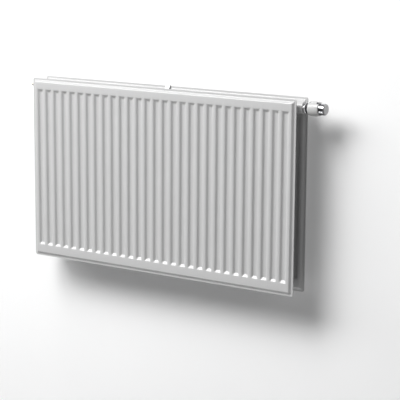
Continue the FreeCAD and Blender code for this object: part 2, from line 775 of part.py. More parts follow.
def bracket(x):
    """A folded wall rail with two hooked tongues that carry the lugs."""
    half = RAIL_WIDTH / 2.0
    rail = box(x - half, x + half, -RAIL_DEPTH, 0, RAIL_BOTTOM, RAIL_TOP)
    hollow = box(x - half + RAIL_SHEET, x + half - RAIL_SHEET, -RAIL_DEPTH - OVER, -RAIL_SHEET,
                 RAIL_BOTTOM - OVER, RAIL_TOP + OVER)
    rail = rail.cut(hollow)
    for z in (-FIXING_Z, FIXING_Z):
        rail = rail.cut(cyl_y(FIXING_HOLE_R, -RAIL_SHEET - OVER, OVER, x, z))
    tongue_half = half - RAIL_SHEET
    for lug_bottom in (UPPER_LUG_Z, LOWER_LUG_Z):
        seat = lug_bottom - LINER
        tongue = box(x - tongue_half, x + tongue_half, FINGER_FRONT, -RAIL_SHEET, seat - TONGUE, seat)
        finger = box(x - tongue_half, x + tongue_half, FINGER_FRONT, FINGER_BACK, seat - TONGUE,
                     lug_bottom + FINGER_RISE)
        rail = rail.fuse(tongue).fuse(finger)
    return rail.removeSplitter()


def hook_liner(x, lug_bottom):
    """The plastic liner on a tongue, so that steel doesn't rub on paint."""
    half = RAIL_WIDTH / 2.0 - RAIL_SHEET
    depth = 8.0
    return box(x - half, x + half, FINGER_BACK, FINGER_BACK + depth, lug_bottom - LINER, lug_bottom)


def pair(make, *values):
    """The same piece at both bracket positions, as one group of two solids."""
    return Part.makeCompound([make(-BRACKET_X, *values), make(BRACKET_X, *values)])


def add_hanging():
    PARTS["spacer_strap"] = spacer_strap()
    PARTS["lower_strap"] = lower_strap()
    PARTS["upper_lugs"] = pair(hanging_lug, UPPER_LUG_Z)
    PARTS["lower_lugs"] = pair(hanging_lug, LOWER_LUG_Z)
    PARTS["bracket_left"] = bracket(-BRACKET_X)
    PARTS["bracket_right"] = bracket(BRACKET_X)
    PARTS["upper_hook_liners"] = pair(hook_liner, UPPER_LUG_Z)
    PARTS["lower_hook_liners"] = pair(hook_liner, LOWER_LUG_Z)


# ---------------------------------------------------------------- build and export
add_panels()
add_waterways()
add_air_vent()
add_valve()
add_head()
add_hanging()

os.makedirs("parts", exist_ok=True)
for name, shape in PARTS.items():
    shape.exportStep("parts/" + name + ".step")
    print(name, len(shape.Solids), round(shape.Volume), shape.isValid())
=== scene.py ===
import json
import math

import bmesh
import bpy
from mathutils import Matrix, Vector


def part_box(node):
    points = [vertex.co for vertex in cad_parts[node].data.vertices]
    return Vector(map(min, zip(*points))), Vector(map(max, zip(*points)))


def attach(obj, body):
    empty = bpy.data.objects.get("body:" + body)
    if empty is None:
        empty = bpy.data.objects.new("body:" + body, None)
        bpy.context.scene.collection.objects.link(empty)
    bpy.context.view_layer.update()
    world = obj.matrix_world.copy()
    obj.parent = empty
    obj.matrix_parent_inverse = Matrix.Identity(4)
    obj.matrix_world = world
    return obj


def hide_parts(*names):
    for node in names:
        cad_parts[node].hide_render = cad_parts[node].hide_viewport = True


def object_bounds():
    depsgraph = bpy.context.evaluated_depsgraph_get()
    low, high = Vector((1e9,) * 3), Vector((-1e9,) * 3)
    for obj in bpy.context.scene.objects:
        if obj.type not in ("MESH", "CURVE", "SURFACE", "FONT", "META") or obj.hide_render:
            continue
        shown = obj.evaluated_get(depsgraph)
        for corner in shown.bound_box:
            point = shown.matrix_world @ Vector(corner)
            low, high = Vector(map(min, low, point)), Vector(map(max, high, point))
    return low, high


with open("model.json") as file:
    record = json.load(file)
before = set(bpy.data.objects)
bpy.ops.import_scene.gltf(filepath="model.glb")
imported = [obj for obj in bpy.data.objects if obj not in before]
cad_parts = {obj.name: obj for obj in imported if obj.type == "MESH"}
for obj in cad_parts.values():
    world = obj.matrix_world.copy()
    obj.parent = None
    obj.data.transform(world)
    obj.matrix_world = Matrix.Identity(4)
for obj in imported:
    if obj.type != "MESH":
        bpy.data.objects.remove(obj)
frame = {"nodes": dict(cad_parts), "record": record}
cad_low, cad_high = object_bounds()

# A white double-panel radiator with a thermostatic valve head. Metres, in the frame of the CAD:
# X along the radiator, Z up, the front faces -Y and the wall is the plane y = 0.

MM = 0.001

# ---------------------------------------------------------------- places read from the frame
front_low, front_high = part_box("front_panel_outer_sheet")
rear_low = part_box("rear_panel_outer_sheet")[0]
PANEL_LEFT = front_low.x
PANEL_RIGHT = front_high.x
PANEL_TOP = front_high.z
PANEL_BOTTOM = front_low.z
SHEET_DEPTH = front_high.y - front_low.y
FRONT_WELD = front_high.y
REAR_WELD = rear_low.y
AXIS_Y = (FRONT_WELD + REAR_WELD) / 2
TAPPING_INSET = 27 * MM         # from the panels' top and bottom to the fittings' axes
UPPER_Z = PANEL_TOP - TAPPING_INSET
LOWER_Z = PANEL_BOTTOM + TAPPING_INSET

# ---------------------------------------------------------------- the pressing
STEEL = 1.25 * MM
RISE = SHEET_DEPTH - STEEL
FLANGE = 6.5 * MM
BEVEL = 6.0 * MM
GROOVES = 29
PITCH = (PANEL_RIGHT - PANEL_LEFT) / (GROOVES + 1)
MOUTH_HALF = 11.6 * MM
FLOOR_HALF = 6.1 * MM
END_SLOPE = 8.0 * MM            # length of the slope at each end of a groove
GROOVE_TOP = PANEL_TOP - 35.5 * MM
GROOVE_BOTTOM = PANEL_BOTTOM + 39.0 * MM
SHORT_INSET = 60.0 * MM         # where a groove beside a tee ends
SHORT_TOP = PANEL_TOP - SHORT_INSET
SHORT_BOTTOM = PANEL_BOTTOM + SHORT_INSET
FILLET = 1.5 * MM               # half the width of each rounded bend of the border
RIB_FILLET = 2.6 * MM           # and of the bends along the grooves
CORNER_RADIUS = 7.0 * MM
RIM_STEP = 0.5 * MM             # from the sheet's edge to the mesh's next line
LINE_GAP = 0.2 * MM             # mesh lines closer than this are one
SPAN_STEPS = 12                 # mesh rows along the plain length of a groove

# ---------------------------------------------------------------- the grip
GRIP_R = 17.5 * MM
FLUTES = 6
FLUTE_DEPTH = 1.7 * MM


# ---------------------------------------------------------------- material helpers
def new_material(name):
    """A new material, with its nodes, links, Principled shader and object coordinates."""
    material = bpy.data.materials.new(name)
    material.use_nodes = True
    nodes = material.node_tree.nodes
    links = material.node_tree.links
    shader = nodes["Principled BSDF"]
    place = nodes.new("ShaderNodeTexCoord").outputs["Object"]
    return material, nodes, links, shader, place


def noise(nodes, links, place, scale, detail=3.0, roughness=0.5, stretch=(1, 1, 1)):
    """A noise texture over the object's own coordinates. scale is in cycles per metre."""
    mapping = nodes.new("ShaderNodeMapping")
    mapping.inputs["Scale"].default_value = stretch
    links.new(place, mapping.inputs["Vector"])
    texture = nodes.new("ShaderNodeTexNoise")
    texture.inputs["Scale"].default_value = scale
    texture.inputs["Detail"].default_value = detail
    texture.inputs["Roughness"].default_value = roughness
    links.new(mapping.outputs["Vector"], texture.inputs["Vector"])
    return texture.outputs["Fac"]


def spread(nodes, links, value, low, high):
    """Maps a value's middle range, 0.3 to 0.7, to low..high."""
    node = nodes.new("ShaderNodeMapRange")
    node.inputs["From Min"].default_value = 0.3
    node.inputs["From Max"].default_value = 0.7
    node.inputs["To Min"].default_value = low
    node.inputs["To Max"].default_value = high
    links.new(value, node.inputs["Value"])
    return node.outputs["Result"]


def tint(nodes, links, value, dark, light):
    """Blends two colours by a value from 0 to 1."""
    ramp = nodes.new("ShaderNodeValToRGB")
    ramp.color_ramp.elements[0].position = 0.35
    ramp.color_ramp.elements[0].color = (*dark, 1)
    ramp.color_ramp.elements[1].position = 0.65
    ramp.color_ramp.elements[1].color = (*light, 1)
    links.new(value, ramp.inputs["Fac"])
    return ramp.outputs["Color"]


def bump(nodes, links, shader, height, distance):
    """Roughens the surface by a height from 0 to 1, which stands for the given distance."""
    node = nodes.new("ShaderNodeBump")
    node.inputs["Strength"].default_value = 1.0
    node.inputs["Distance"].default_value = distance
    links.new(height, node.inputs["Height"])
    links.new(node.outputs["Normal"], shader.inputs["Normal"])


def shade(colour, factor):
    return tuple(c * factor for c in colour)


def enamel(name, colour, gloss=0.30, peel=0.004):
    """Stoved white enamel: faint unevenness of colour and gloss, and a fine orange peel."""
    material, nodes, links, shader, place = new_material(name)
    broad = noise(nodes, links, place, scale=9.0, detail=4.0)
    links.new(tint(nodes, links, broad, shade(colour, 0.99), colour), shader.inputs["Base Color"])
    sheen = noise(nodes, links, place, scale=40.0)
    links.new(spread(nodes, links, sheen, gloss - 0.02, gloss + 0.02), shader.inputs["Roughness"])
    skin = noise(nodes, links, place, scale=420.0, detail=2.0)
    bump(nodes, links, shader, skin, peel * MM)
    shader.inputs["Coat Weight"].default_value = 0.25
    shader.inputs["Coat Roughness"].default_value = 0.12
    return material


def plated(name, colour, gloss, brush=(1, 1, 1), grain=0.004, scale=300.0):
    """Plated or turned metal, with a fine grain that a stretched noise gives."""
    material, nodes, links, shader, place = new_material(name)
    shader.inputs["Metallic"].default_value = 1.0
    fine = noise(nodes, links, place, scale, roughness=0.6, stretch=brush)
    links.new(tint(nodes, links, fine, shade(colour, 0.93), colour), shader.inputs["Base Color"])
    links.new(spread(nodes, links, fine, gloss * 0.8, gloss * 1.3), shader.inputs["Roughness"])
    bump(nodes, links, shader, fine, grain * MM)
    return material


def fluted_chrome(name, colour, gloss, painted_flute_shade):
    """Chrome whose recesses, nearer the valve's axis, are duller and get painted shade: a dark colour that
    stands in for the dark reflection the flutes show.
    """
    recess_gloss = 0.35
    material, nodes, links, shader, place = new_material(name)
    shader.inputs["Metallic"].default_value = 1.0
    from_axis = nodes.new("ShaderNodeMapping")
    from_axis.vector_type = "POINT"
    from_axis.inputs["Location"].default_value = (0, -AXIS_Y, -UPPER_Z)
    from_axis.inputs["Scale"].default_value = (0, 1, 1)
    links.new(place, from_axis.inputs["Vector"])
    radius = nodes.new("ShaderNodeVectorMath")
    radius.operation = "LENGTH"
    links.new(from_axis.outputs["Vector"], radius.inputs[0])
    height = nodes.new("ShaderNodeMapRange")
    height.inputs["From Min"].default_value = GRIP_R - 0.3 * FLUTE_DEPTH
    height.inputs["From Max"].default_value = GRIP_R - 0.05 * FLUTE_DEPTH
    links.new(radius.outputs["Value"], height.inputs["Value"])
    # painted shade: the flutes' recesses take the dark colour, standing in for their dark reflection
    links.new(tint(nodes, links, height.outputs["Result"], painted_flute_shade, colour), shader.inputs["Base Color"])
    finish = spread(nodes, links, height.outputs["Result"], recess_gloss, gloss)
    links.new(finish, shader.inputs["Roughness"])
    return material


def moulded(name, colour, gloss, grain=0.02, scale=700.0):
    """Moulded plastic with a fine spark-eroded grain."""
    material, nodes, links, shader, place = new_material(name)
    broad = noise(nodes, links, place, scale=60.0)
    links.new(tint(nodes, links, broad, shade(colour, 0.96), colour), shader.inputs["Base Color"])
    fine = noise(nodes, links, place, scale, detail=2.0)
    links.new(spread(nodes, links, fine, gloss - 0.04, gloss + 0.05), shader.inputs["Roughness"])
    bump(nodes, links, shader, fine, grain * MM)
    return material


TURNED = (0.06, 1, 1)           # stretches a grain round the valve's axis
MATERIALS = {
    "panel_paint": enamel("panel_enamel", (0.555, 0.555, 0.555)),
    "fitting_paint": enamel("fitting_enamel", (0.555, 0.555, 0.555), 0.34, 0.008),
    "bracket_paint": enamel("bracket_powder_coat", (0.56, 0.56, 0.56), 0.45, 0.012),
    "blank_cap": enamel("plug_enamel", (0.58, 0.58, 0.58), 0.33, 0.008),
    "nickel": plated("nickel_plate", (0.60, 0.57, 0.50), 0.22, TURNED),
    "nut_nickel": plated("nut_plate", (0.70, 0.70, 0.71), 0.14, TURNED),
    # grip_chrome's last colour is painted shade for the dark reflection in the flutes
    "grip_chrome": fluted_chrome("grip_chrome", (0.78, 0.79, 0.81), 0.09, (0.12, 0.12, 0.125)),
    "cap_satin": plated("cap_satin", (0.38, 0.38, 0.385), 0.46, TURNED, 0.004, 500.0),
    "brass": plated("turned_brass", (0.66, 0.49, 0.22), 0.26, TURNED),
    "capsule_metal": plated("capsule_brass", (0.62, 0.47, 0.25), 0.30, TURNED),
    "stainless": plated("stainless", (0.60, 0.61, 0.62), 0.22, TURNED),
    "spring_steel": plated("spring_steel", (0.45, 0.46, 0.48), 0.30),
    "nickel_seal": moulded("black_rubber", (0.012, 0.012, 0.012), 0.60),
    "dark_plastic": moulded("dark_plastic", (0.022, 0.022, 0.028), 0.42),
    "head_plastic": moulded("head_plastic", (0.56, 0.56, 0.555), 0.24, 0.006),
    "inner_plastic": moulded("inner_plastic", (0.62, 0.62, 0.60), 0.40),
    "vent_plastic": moulded("vent_plastic", (0.74, 0.74, 0.72), 0.30, 0.01),
    "preset_plastic": moulded("preset_plastic", (0.03, 0.09, 0.32), 0.38),
    "liner_plastic": moulded("liner_nylon", (0.60, 0.60, 0.58), 0.45),
}


# ---------------------------------------------------------------- mesh helpers
def mark_sharp(mesh, angle):
    """Edges that turn more than the angle stay crisp, all others are shaded smooth."""
    work = bmesh.new()
    work.from_mesh(mesh)
    for edge in work.edges:
        if len(edge.link_faces) == 2:
            edge.smooth = edge.calc_face_angle() < angle
    work.to_mesh(mesh)
    work.free()


def turn(work, profile, axis="X", x=0.0, z=UPPER_Z, segments=96, radius_at=None):
    """Adds a closed form turned about an axis. profile is (place on the axis, radius) round the
    section, and radius_at, if given, changes a point's radius by its place and angle.
    Angle 0 faces the front and turns upwards, on a form about X."""
    def point(along, radius, angle):
        c = radius * math.cos(angle)
        s = radius * math.sin(angle)
        if axis == "X":
            return (along, AXIS_Y - c, z + s)
        if axis == "Y":
            return (x + c, along, z + s)
        return (x + c, AXIS_Y + s, along)
    rings = []
    for along, radius in profile:
        if radius <= 0:
            rings.append([work.verts.new(point(along, 0.0, 0.0))])
            continue
        ring = []
        for k in range(segments):
            angle = 2 * math.pi * k / segments
            r = radius_at(along, radius, angle) if radius_at else radius
            ring.append(work.verts.new(point(along, r, angle)))
        rings.append(ring)
    count = len(rings)
    hollow = profile[0][1] > 0
    bands = count if hollow else count - 1
    for i in range(bands):
        a = rings[i]
        b = rings[(i + 1) % count]
        for k in range(segments):
            n = (k + 1) % segments
            if len(a) == 1:
                work.faces.new((a[0], b[k], b[n]))
            elif len(b) == 1:
                work.faces.new((a[k], b[0], a[n]))
            else:
                work.faces.new((a[k], b[k], b[n], a[n]))


def piece(name, work, body, slot, nodes, sharp=35.0):
    """Turns a bmesh into a piece on a body, in place of its CAD nodes. sharp is in degrees."""
    bmesh.ops.recalc_face_normals(work, faces=work.faces)
    mesh = bpy.data.meshes.new(name)
    work.to_mesh(mesh)
    work.free()
    obj = bpy.data.objects.new(name, mesh)
    bpy.context.scene.collection.objects.link(obj)
    mesh.materials.append(MATERIALS[slot])
    for polygon in mesh.polygons:
        polygon.use_smooth = True
    mark_sharp(mesh, math.radians(sharp))
    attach(obj, body)
    if nodes:
        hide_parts(*nodes)


def lathe(name, profile, body, slot, nodes, **where):
    """A piece that is one turned form."""
    work = bmesh.new()
    turn(work, profile, **where)
    piece(name, work, body, slot, nodes)


def rounded(points, radius, steps=4):
    """Rounds the inner corners of a run of (x, r) points with short parabolas."""
    most = 0.45
    result = []
    last = len(points) - 1
    for i, (x, r) in enumerate(points):
        if i in (0, last):
            result.append((x, r))
            continue
        corner = Vector((x, r))
        back = Vector(points[i - 1]) - corner
        ahead = Vector(points[i + 1]) - corner
        reach = min(radius, back.length * most, ahead.length * most)
        start = corner + back.normalized() * reach
        end = corner + ahead.normalized() * reach
        for k in range(steps + 1):
            t = k / steps
            point = start * (1 - t) ** 2 + corner * 2 * t * (1 - t) + end * t * t
            result.append((point.x, point.y))
    return result


# ---------------------------------------------------------------- pressed sheets
def bend(distance, start, end, fillet=FILLET):
    """How far down a slope a point is, 0 to 1, with both ends rounded."""
    def soft(value):
        if value <= -fillet:
            return 0.0
        if value >= fillet:
            return value
        return (value + fillet) ** 2 / (4 * fillet)
    return (soft(distance - start) - soft(distance - end)) / (end - start)


def samples(start, end, fillet=FILLET):
    """Places of the mesh's lines across one slope, closer together at its bends."""
    offsets = (-1.0, -0.5, 0.0, 0.5, 1.0)
    return [start + fillet * k for k in offsets] + [end + fillet * k for k in offsets]


def field_height(x, z, clears_tees):
    """How far the sheet stands out of its flange at a point, 0 to 1. The inner sheets' end
    grooves stop short of the corner tees: both at the left, and the upper one at the right."""
    inset = min(x - PANEL_LEFT, PANEL_RIGHT - x, z - PANEL_BOTTOM, PANEL_TOP - z)
    rise = bend(inset, FLANGE, FLANGE + BEVEL)
    place = (x - PANEL_LEFT) / PITCH
    k = min(max(round(place), 1), GROOVES)
    top = SHORT_TOP if clears_tees and k in (1, GROOVES) else GROOVE_TOP
    bottom = SHORT_BOTTOM if clears_tees and k == 1 else GROOVE_BOTTOM
    across = 1 - bend(abs(x - PANEL_LEFT - k * PITCH), FLOOR_HALF, MOUTH_HALF, RIB_FILLET)
    along = bend(min(z - bottom, top - z), 0.0, END_SLOPE)
    return rise - min(across, along)


def grid_lines():
    """The mesh's lines along X and Z, set where the pressing bends."""
    xs = [PANEL_LEFT + CORNER_RADIUS, PANEL_RIGHT - CORNER_RADIUS]
    zs = [PANEL_BOTTOM + CORNER_RADIUS, PANEL_TOP - CORNER_RADIUS]
    for value in samples(FLANGE, FLANGE + BEVEL):
        xs += [PANEL_LEFT + value, PANEL_RIGHT - value]
        zs += [PANEL_BOTTOM + value, PANEL_TOP - value]
    for k in range(1, GROOVES + 1):
        centre = PANEL_LEFT + k * PITCH
        for value in samples(FLOOR_HALF, MOUTH_HALF, RIB_FILLET):
            xs += [centre - value, centre + value]
        xs.append(centre)
    for bottom, top in ((GROOVE_BOTTOM, GROOVE_TOP), (SHORT_BOTTOM, SHORT_TOP)):
        for value in samples(0.0, END_SLOPE):
            zs += [bottom + value, top - value]
    span = SHORT_TOP - SHORT_BOTTOM
    zs += [SHORT_BOTTOM + span * k / SPAN_STEPS for k in range(1, SPAN_STEPS)]
    xs += [PANEL_LEFT, PANEL_LEFT + RIM_STEP, PANEL_RIGHT - RIM_STEP, PANEL_RIGHT]
    zs += [PANEL_BOTTOM, PANEL_BOTTOM + RIM_STEP, PANEL_TOP - RIM_STEP, PANEL_TOP]
    return thinned(xs), thinned(zs)


def thinned(values):
    """The values in order, without those that nearly repeat the one before."""
    result = []
    for value in sorted(values):
        if not result or value - result[-1] > LINE_GAP:
            result.append(value)
    result[-1] = max(values)
    return result


def rounded_corner(x, z):
    """Moves the mesh's outermost corner points in, so that the sheet's corners are rounded."""
    cx = min(max(x, PANEL_LEFT + CORNER_RADIUS), PANEL_RIGHT - CORNER_RADIUS)
    cz = min(max(z, PANEL_BOTTOM + CORNER_RADIUS), PANEL_TOP - CORNER_RADIUS)
    dx = x - cx
    dz = z - cz
    reach = math.hypot(dx, dz)
    if dx == 0 or dz == 0 or reach == 0:
        return x, z
    square = max(abs(dx), abs(dz))
    return cx + dx * square / reach, cz + dz * square / reach


def pressed_sheet(name, weld_y, outward, clears_tees):
    """One sheet: the pressed skin, the rim of its flange and the flat joint behind.
    outward is -1 when the skin faces the front and +1 when it faces the wall."""
    xs, zs = grid_lines()
    work = bmesh.new()
    skin = []
    for z in zs:
        row = []
        for x in xs:
            height = field_height(x, z, clears_tees)
            px, pz = rounded_corner(x, z)
            y = weld_y + outward * (STEEL + RISE * height)
            row.append(work.verts.new((px, y, pz)))
        skin.append(row)
    for j in range(len(zs) - 1):
        for i in range(len(xs) - 1):
            work.faces.new((skin[j][i], skin[j][i + 1], skin[j + 1][i + 1], skin[j + 1][i]))
    loop = skin[0] + [row[-1] for row in skin[1:]]
    loop += skin[-1][-2::-1] + [row[0] for row in skin[-2:0:-1]]
    back = [work.verts.new((v.co.x, weld_y, v.co.z)) for v in loop]
    for i, vert in enumerate(loop):
        n = (i + 1) % len(loop)
        work.faces.new((vert, back[i], back[n], loop[n]))
    work.faces.new(back)
    piece(name + "_pressing", work, "radiator", "panel_paint", [name], sharp=60.0)


def make_panels():
    pressed_sheet("front_panel_outer_sheet", FRONT_WELD, -1, False)
    pressed_sheet("front_panel_inner_sheet", FRONT_WELD, 1, True)
    pressed_sheet("rear_panel_inner_sheet", REAR_WELD, -1, True)
    pressed_sheet("rear_panel_outer_sheet", REAR_WELD, 1, False)


# ---------------------------------------------------------------- fittings on the panels
TEE_INSET = 30 * MM
RETURN_INSET = 50 * MM
STUB_SPACING = 50 * MM
TEE_X = PANEL_RIGHT - TEE_INSET
RETURN_X = PANEL_RIGHT - RETURN_INSET
SUPPLY_X = RETURN_X - STUB_SPACING
GAP_HALF = (REAR_WELD - FRONT_WELD) / 2 - SHEET_DEPTH
TUBE_R = 14.0 * MM
BOSS_R = 19.5 * MM
TAPPING_R = 10.5 * MM


def hexagon_limit(across_flats, turned=0.0):
    """A radius_at that trims a turned form to a hexagon."""
    def limit(along, radius, angle):
        side = math.pi / 3
        offset = (angle + turned) % side - side / 2
        return min(radius, across_flats / 2 / math.cos(offset))
    return limit


def cross_tube(work, x, z):
    """The tube between the panels, with a weld bead where it meets each inner sheet."""
    front = AXIS_Y - GAP_HALF
    rear = AXIS_Y + GAP_HALF
    bead = 2.2 * MM
    half = 0.5 * bead
    brow = TUBE_R + 0.8 * bead
    profile = [(front, 0), (front, TUBE_R + bead), (front + half, brow), (front + bead, TUBE_R),
               (rear - bead, TUBE_R), (rear - half, brow), (rear, TUBE_R + bead), (rear, 0)]
    turn(work, rounded(profile, 1.2 * MM), "Y", x=x, z=z, segments=64)


def make_left_tee(node, z):
    """A corner tee at the radiator's left, tapped from its left end."""
    low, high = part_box(node)
    work = bmesh.new()
    depth = low.x + 7 * MM
    profile = [(depth, 0), (depth, TAPPING_R), (low.x + MM, TAPPING_R), (low.x, TAPPING_R + MM),
               (low.x, BOSS_R), (high.x, BOSS_R), (high.x, 0)]
    turn(work, rounded(profile, 1.6 * MM), z=z)
    cross_tube(work, -TEE_X, z)
    piece(node + "_cast", work, "radiator", "fitting_paint", [node])


def make_valve_housing():
    """The valve's body: a narrow inlet, a wide boss and a tapping at its right end."""
    low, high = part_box("valve_housing")
    work = bmesh.new()
    boss = 59 * MM
    shoulder = 5 * MM
    waist = high.x - boss
    depth = high.x - 6 * MM
    inlet_r = 14.0 * MM
    profile = [(low.x, 0), (low.x, inlet_r), (waist - shoulder, inlet_r), (waist, BOSS_R),
               (high.x, BOSS_R), (high.x, TAPPING_R + 1.5 * MM), (depth, TAPPING_R), (depth, 0)]
    turn(work, rounded(profile, 2.0 * MM))
    cross_tube(work, TEE_X, UPPER_Z)
    piece("valve_housing_cast", work, "radiator", "fitting_paint", ["valve_housing"])


def threaded_run(start, end, crest, root, pitch):
    """A turned thread's profile, as rings from start to end."""
    crest_start = 0.35
    crest_end = 0.65
    count = max(1, round(abs(end - start) / pitch))
    step = (end - start) / count
    points = []
    for k in range(count):
        base = start + k * step
        points += [(base, root), (base + crest_start * step, crest), (base + crest_end * step, crest)]
    points.append((end, root))
    return points


def make_connection_block():
    """The lower right fitting: a tapped bar with two threaded stubs that point down."""
    low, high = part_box("connection_block")
    work = bmesh.new()
    block_r = 17.0 * MM
    depth = high.x - 6 * MM
    profile = [(low.x, 0), (low.x, block_r), (high.x, block_r), (high.x, TAPPING_R + MM),
               (depth, TAPPING_R), (depth, 0)]
    turn(work, rounded(profile, 2.0 * MM), z=LOWER_Z)
    cross_tube(work, RETURN_X, LOWER_Z)
    stub_r = 13.2 * MM
    neck_r = 12.0 * MM
    bore_r = 8.0 * MM
    thread_depth = 1.1 * MM
    thread_pitch = 1.814 * MM       # of a G3/4 pipe thread
    thread_end = low.z + 12 * MM
    bore_end = low.z + 9 * MM
    neck_end = LOWER_Z - 6 * MM
    thread = threaded_run(low.z + 0.6 * MM, thread_end, stub_r, stub_r - thread_depth, thread_pitch)
    stub = [(bore_end, 0), (bore_end, bore_r), (low.z + 2.5 * MM, bore_r),
            (low.z, bore_r + 2.2 * MM), (low.z, stub_r - 1.6 * MM)]
    stub += thread + [(thread_end, neck_r), (neck_end, neck_r), (neck_end, 0)]
    for x in (SUPPLY_X, RETURN_X):
        turn(work, stub, "Z", x=x)
    piece("connection_block_cast", work, "radiator", "fitting_paint", ["connection_block"])


def make_riser():
    """The pipe from the connection block up to the valve, with a weld bead at each end."""
    low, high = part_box("riser_pipe")
    radius = (high.x - low.x) / 2
    middle = (high.x + low.x) / 2
    collar = radius + 1.6 * MM
    bottom = LOWER_Z + 16.5 * MM
    top = UPPER_Z - 13.5 * MM
    bead = 2.4 * MM
    profile = [(low.z, 0), (low.z, radius), (bottom, radius), (bottom, collar), (bottom + bead, radius),
               (top - bead, radius), (top, collar), (top, radius), (high.z, radius), (high.z, 0)]
    lathe("riser_pipe_drawn", profile, "radiator", "fitting_paint", ["riser_pipe"],
          axis="Z", x=middle, segments=48)


def make_blank_plug(node, facing):
    """A screwed plug with a domed flange and a hexagon socket. facing is the way it looks."""
    low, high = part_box(node)
    outer = low.x if facing < 0 else high.x
    inner = high.x if facing < 0 else low.x
    flange_r = 13.7 * MM
    socket_r = 6.6 * MM
    thread_r = TAPPING_R - 0.1 * MM
    back = outer - facing * 3.0 * MM
    socket_floor = outer - facing * 6.5 * MM
    profile = [(socket_floor, 0), (socket_floor, socket_r),
               (outer - facing * 0.4 * MM, socket_r), (outer, socket_r + 1.0 * MM),
               (outer, flange_r - 2.0 * MM), (outer - facing * 1.2 * MM, flange_r), (back, flange_r),
               (back, thread_r), (inner, thread_r), (inner, 0)]
    key_size = 10.0 * MM
    socket = hexagon_limit(key_size)

    def shape(along, radius, angle):
        return socket(along, radius, angle) if radius <= socket_r + 0.1 * MM else radius
    lathe(node + "_turned", profile, "radiator", "blank_cap", [node], z=LOWER_Z, radius_at=shape)


def make_fittings():
    make_left_tee("vent_tee", UPPER_Z)
    make_left_tee("blank_tee", LOWER_Z)
    make_valve_housing()
    make_connection_block()
    make_riser()
    make_blank_plug("blank_plug", -1)
    make_blank_plug("drain_plug", 1)


# ---------------------------------------------------------------- air vent
def make_vent_plug():
    """The vent's body: a neck that the spout turns on, a hexagon and the thread behind it."""
    low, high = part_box("vent_plug")
    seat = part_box("vent_plug_seal")[0].x
    spout_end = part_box("vent_spout")[1].x
    neck = 7.0 * MM
    bore = 2.55 * MM
    hex_r = 12.7 * MM
    across_flats = 22.0 * MM
    thread_r = TAPPING_R - 0.1 * MM
    bore_end = low.x + 8 * MM
    hex_outer = spout_end + 0.3 * MM
    rim = low.x + 1.8 * MM
    profile = [(bore_end, 0), (bore_end, bore), (low.x + 0.4 * MM, bore),
               (low.x, bore + 0.5 * MM), (low.x, neck), (low.x + 0.7 * MM, neck + MM), (rim, neck + MM),
               (rim, neck), (hex_outer, neck), (hex_outer, hex_r - 1.5 * MM),
               (hex_outer + 1.2 * MM, hex_r), (seat - 0.3 * MM, hex_r), (seat, hex_r - 0.5 * MM),
               (seat, thread_r), (high.x, thread_r), (high.x, 0)]
    trim = hexagon_limit(across_flats, math.pi / 6)
    lathe("vent_plug_turned", profile, "radiator", "nickel", ["vent_plug"], radius_at=trim)


def make_vent_spout():
    """The ring that swivels on the vent's neck, and the nozzle that hangs from it."""
    low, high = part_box("vent_spout")
    outer = 9.5 * MM
    bore = 7.06 * MM
    edge = 0.8 * MM
    lip = 0.3 * MM
    middle = (low.x + high.x) / 2
    work = bmesh.new()
    ring = [(low.x, bore + lip), (low.x, outer - edge), (low.x + edge, outer),
            (high.x - edge, outer), (high.x, outer - edge), (high.x, bore + lip),
            (high.x - lip, bore), (low.x + lip, bore)]
    turn(work, ring)
    tip = low.z
    nozzle_r = 3.2 * MM
    bore_end = tip + 4 * MM
    root = UPPER_Z - outer + 1.2 * MM
    nozzle = [(bore_end, 0), (bore_end, 1.5 * MM), (tip, 1.7 * MM), (tip, 2.6 * MM),
              (tip + 0.6 * MM, nozzle_r), (root, nozzle_r), (root, 0)]
    turn(work, nozzle, "Z", x=middle, segments=48)
    piece("vent_spout_moulded", work, "vent_nozzle", "vent_plastic", ["vent_spout"])


def make_vent_screw():
    """The bleed screw's head is turned with its slot left between two half-round lips."""
    low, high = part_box("vent_screw")
    head_r = 4.0 * MM
    stem_r = 2.45 * MM
    chamfer = 0.4 * MM
    head_back = low.x + 6.5 * MM
    slot_floor = low.x + 1.6 * MM
    profile = [(slot_floor, 0), (slot_floor, head_r), (head_back - chamfer, head_r),
               (head_back, head_r - chamfer), (head_back, stem_r), (high.x, stem_r), (high.x, 0)]
    work = bmesh.new()
    turn(work, profile, segments=64)
    slot_half = 0.6 * MM
    reach = math.acos(slot_half / head_r)
    inset = 0.92
    steps = 20
    for side in (-1, 1):
        outline = []
        for k in range(steps + 1):
            angle = -reach + 2 * reach * k / steps
            outline.append((side * head_r * math.cos(angle), head_r * math.sin(angle)))
        lower = [work.verts.new((slot_floor + 0.05 * MM, AXIS_Y + a, UPPER_Z + b)) for a, b in outline]
        upper = [work.verts.new((low.x + 0.3 * MM, AXIS_Y + a, UPPER_Z + b)) for a, b in outline]
        crown = [work.verts.new((low.x, AXIS_Y + side * slot_half + (a - side * slot_half) * inset,
                                 UPPER_Z + b * inset)) for a, b in outline]
        for ring_a, ring_b in ((lower, upper), (upper, crown)):
            for k in range(len(ring_a)):
                n = (k + 1) % len(ring_a)
                work.faces.new((ring_a[k], ring_a[n], ring_b[n], ring_b[k]))
        work.faces.new(lower)
        work.faces.new(crown)
    piece("vent_screw_turned", work, "vent_needle", "nickel", ["vent_screw"])


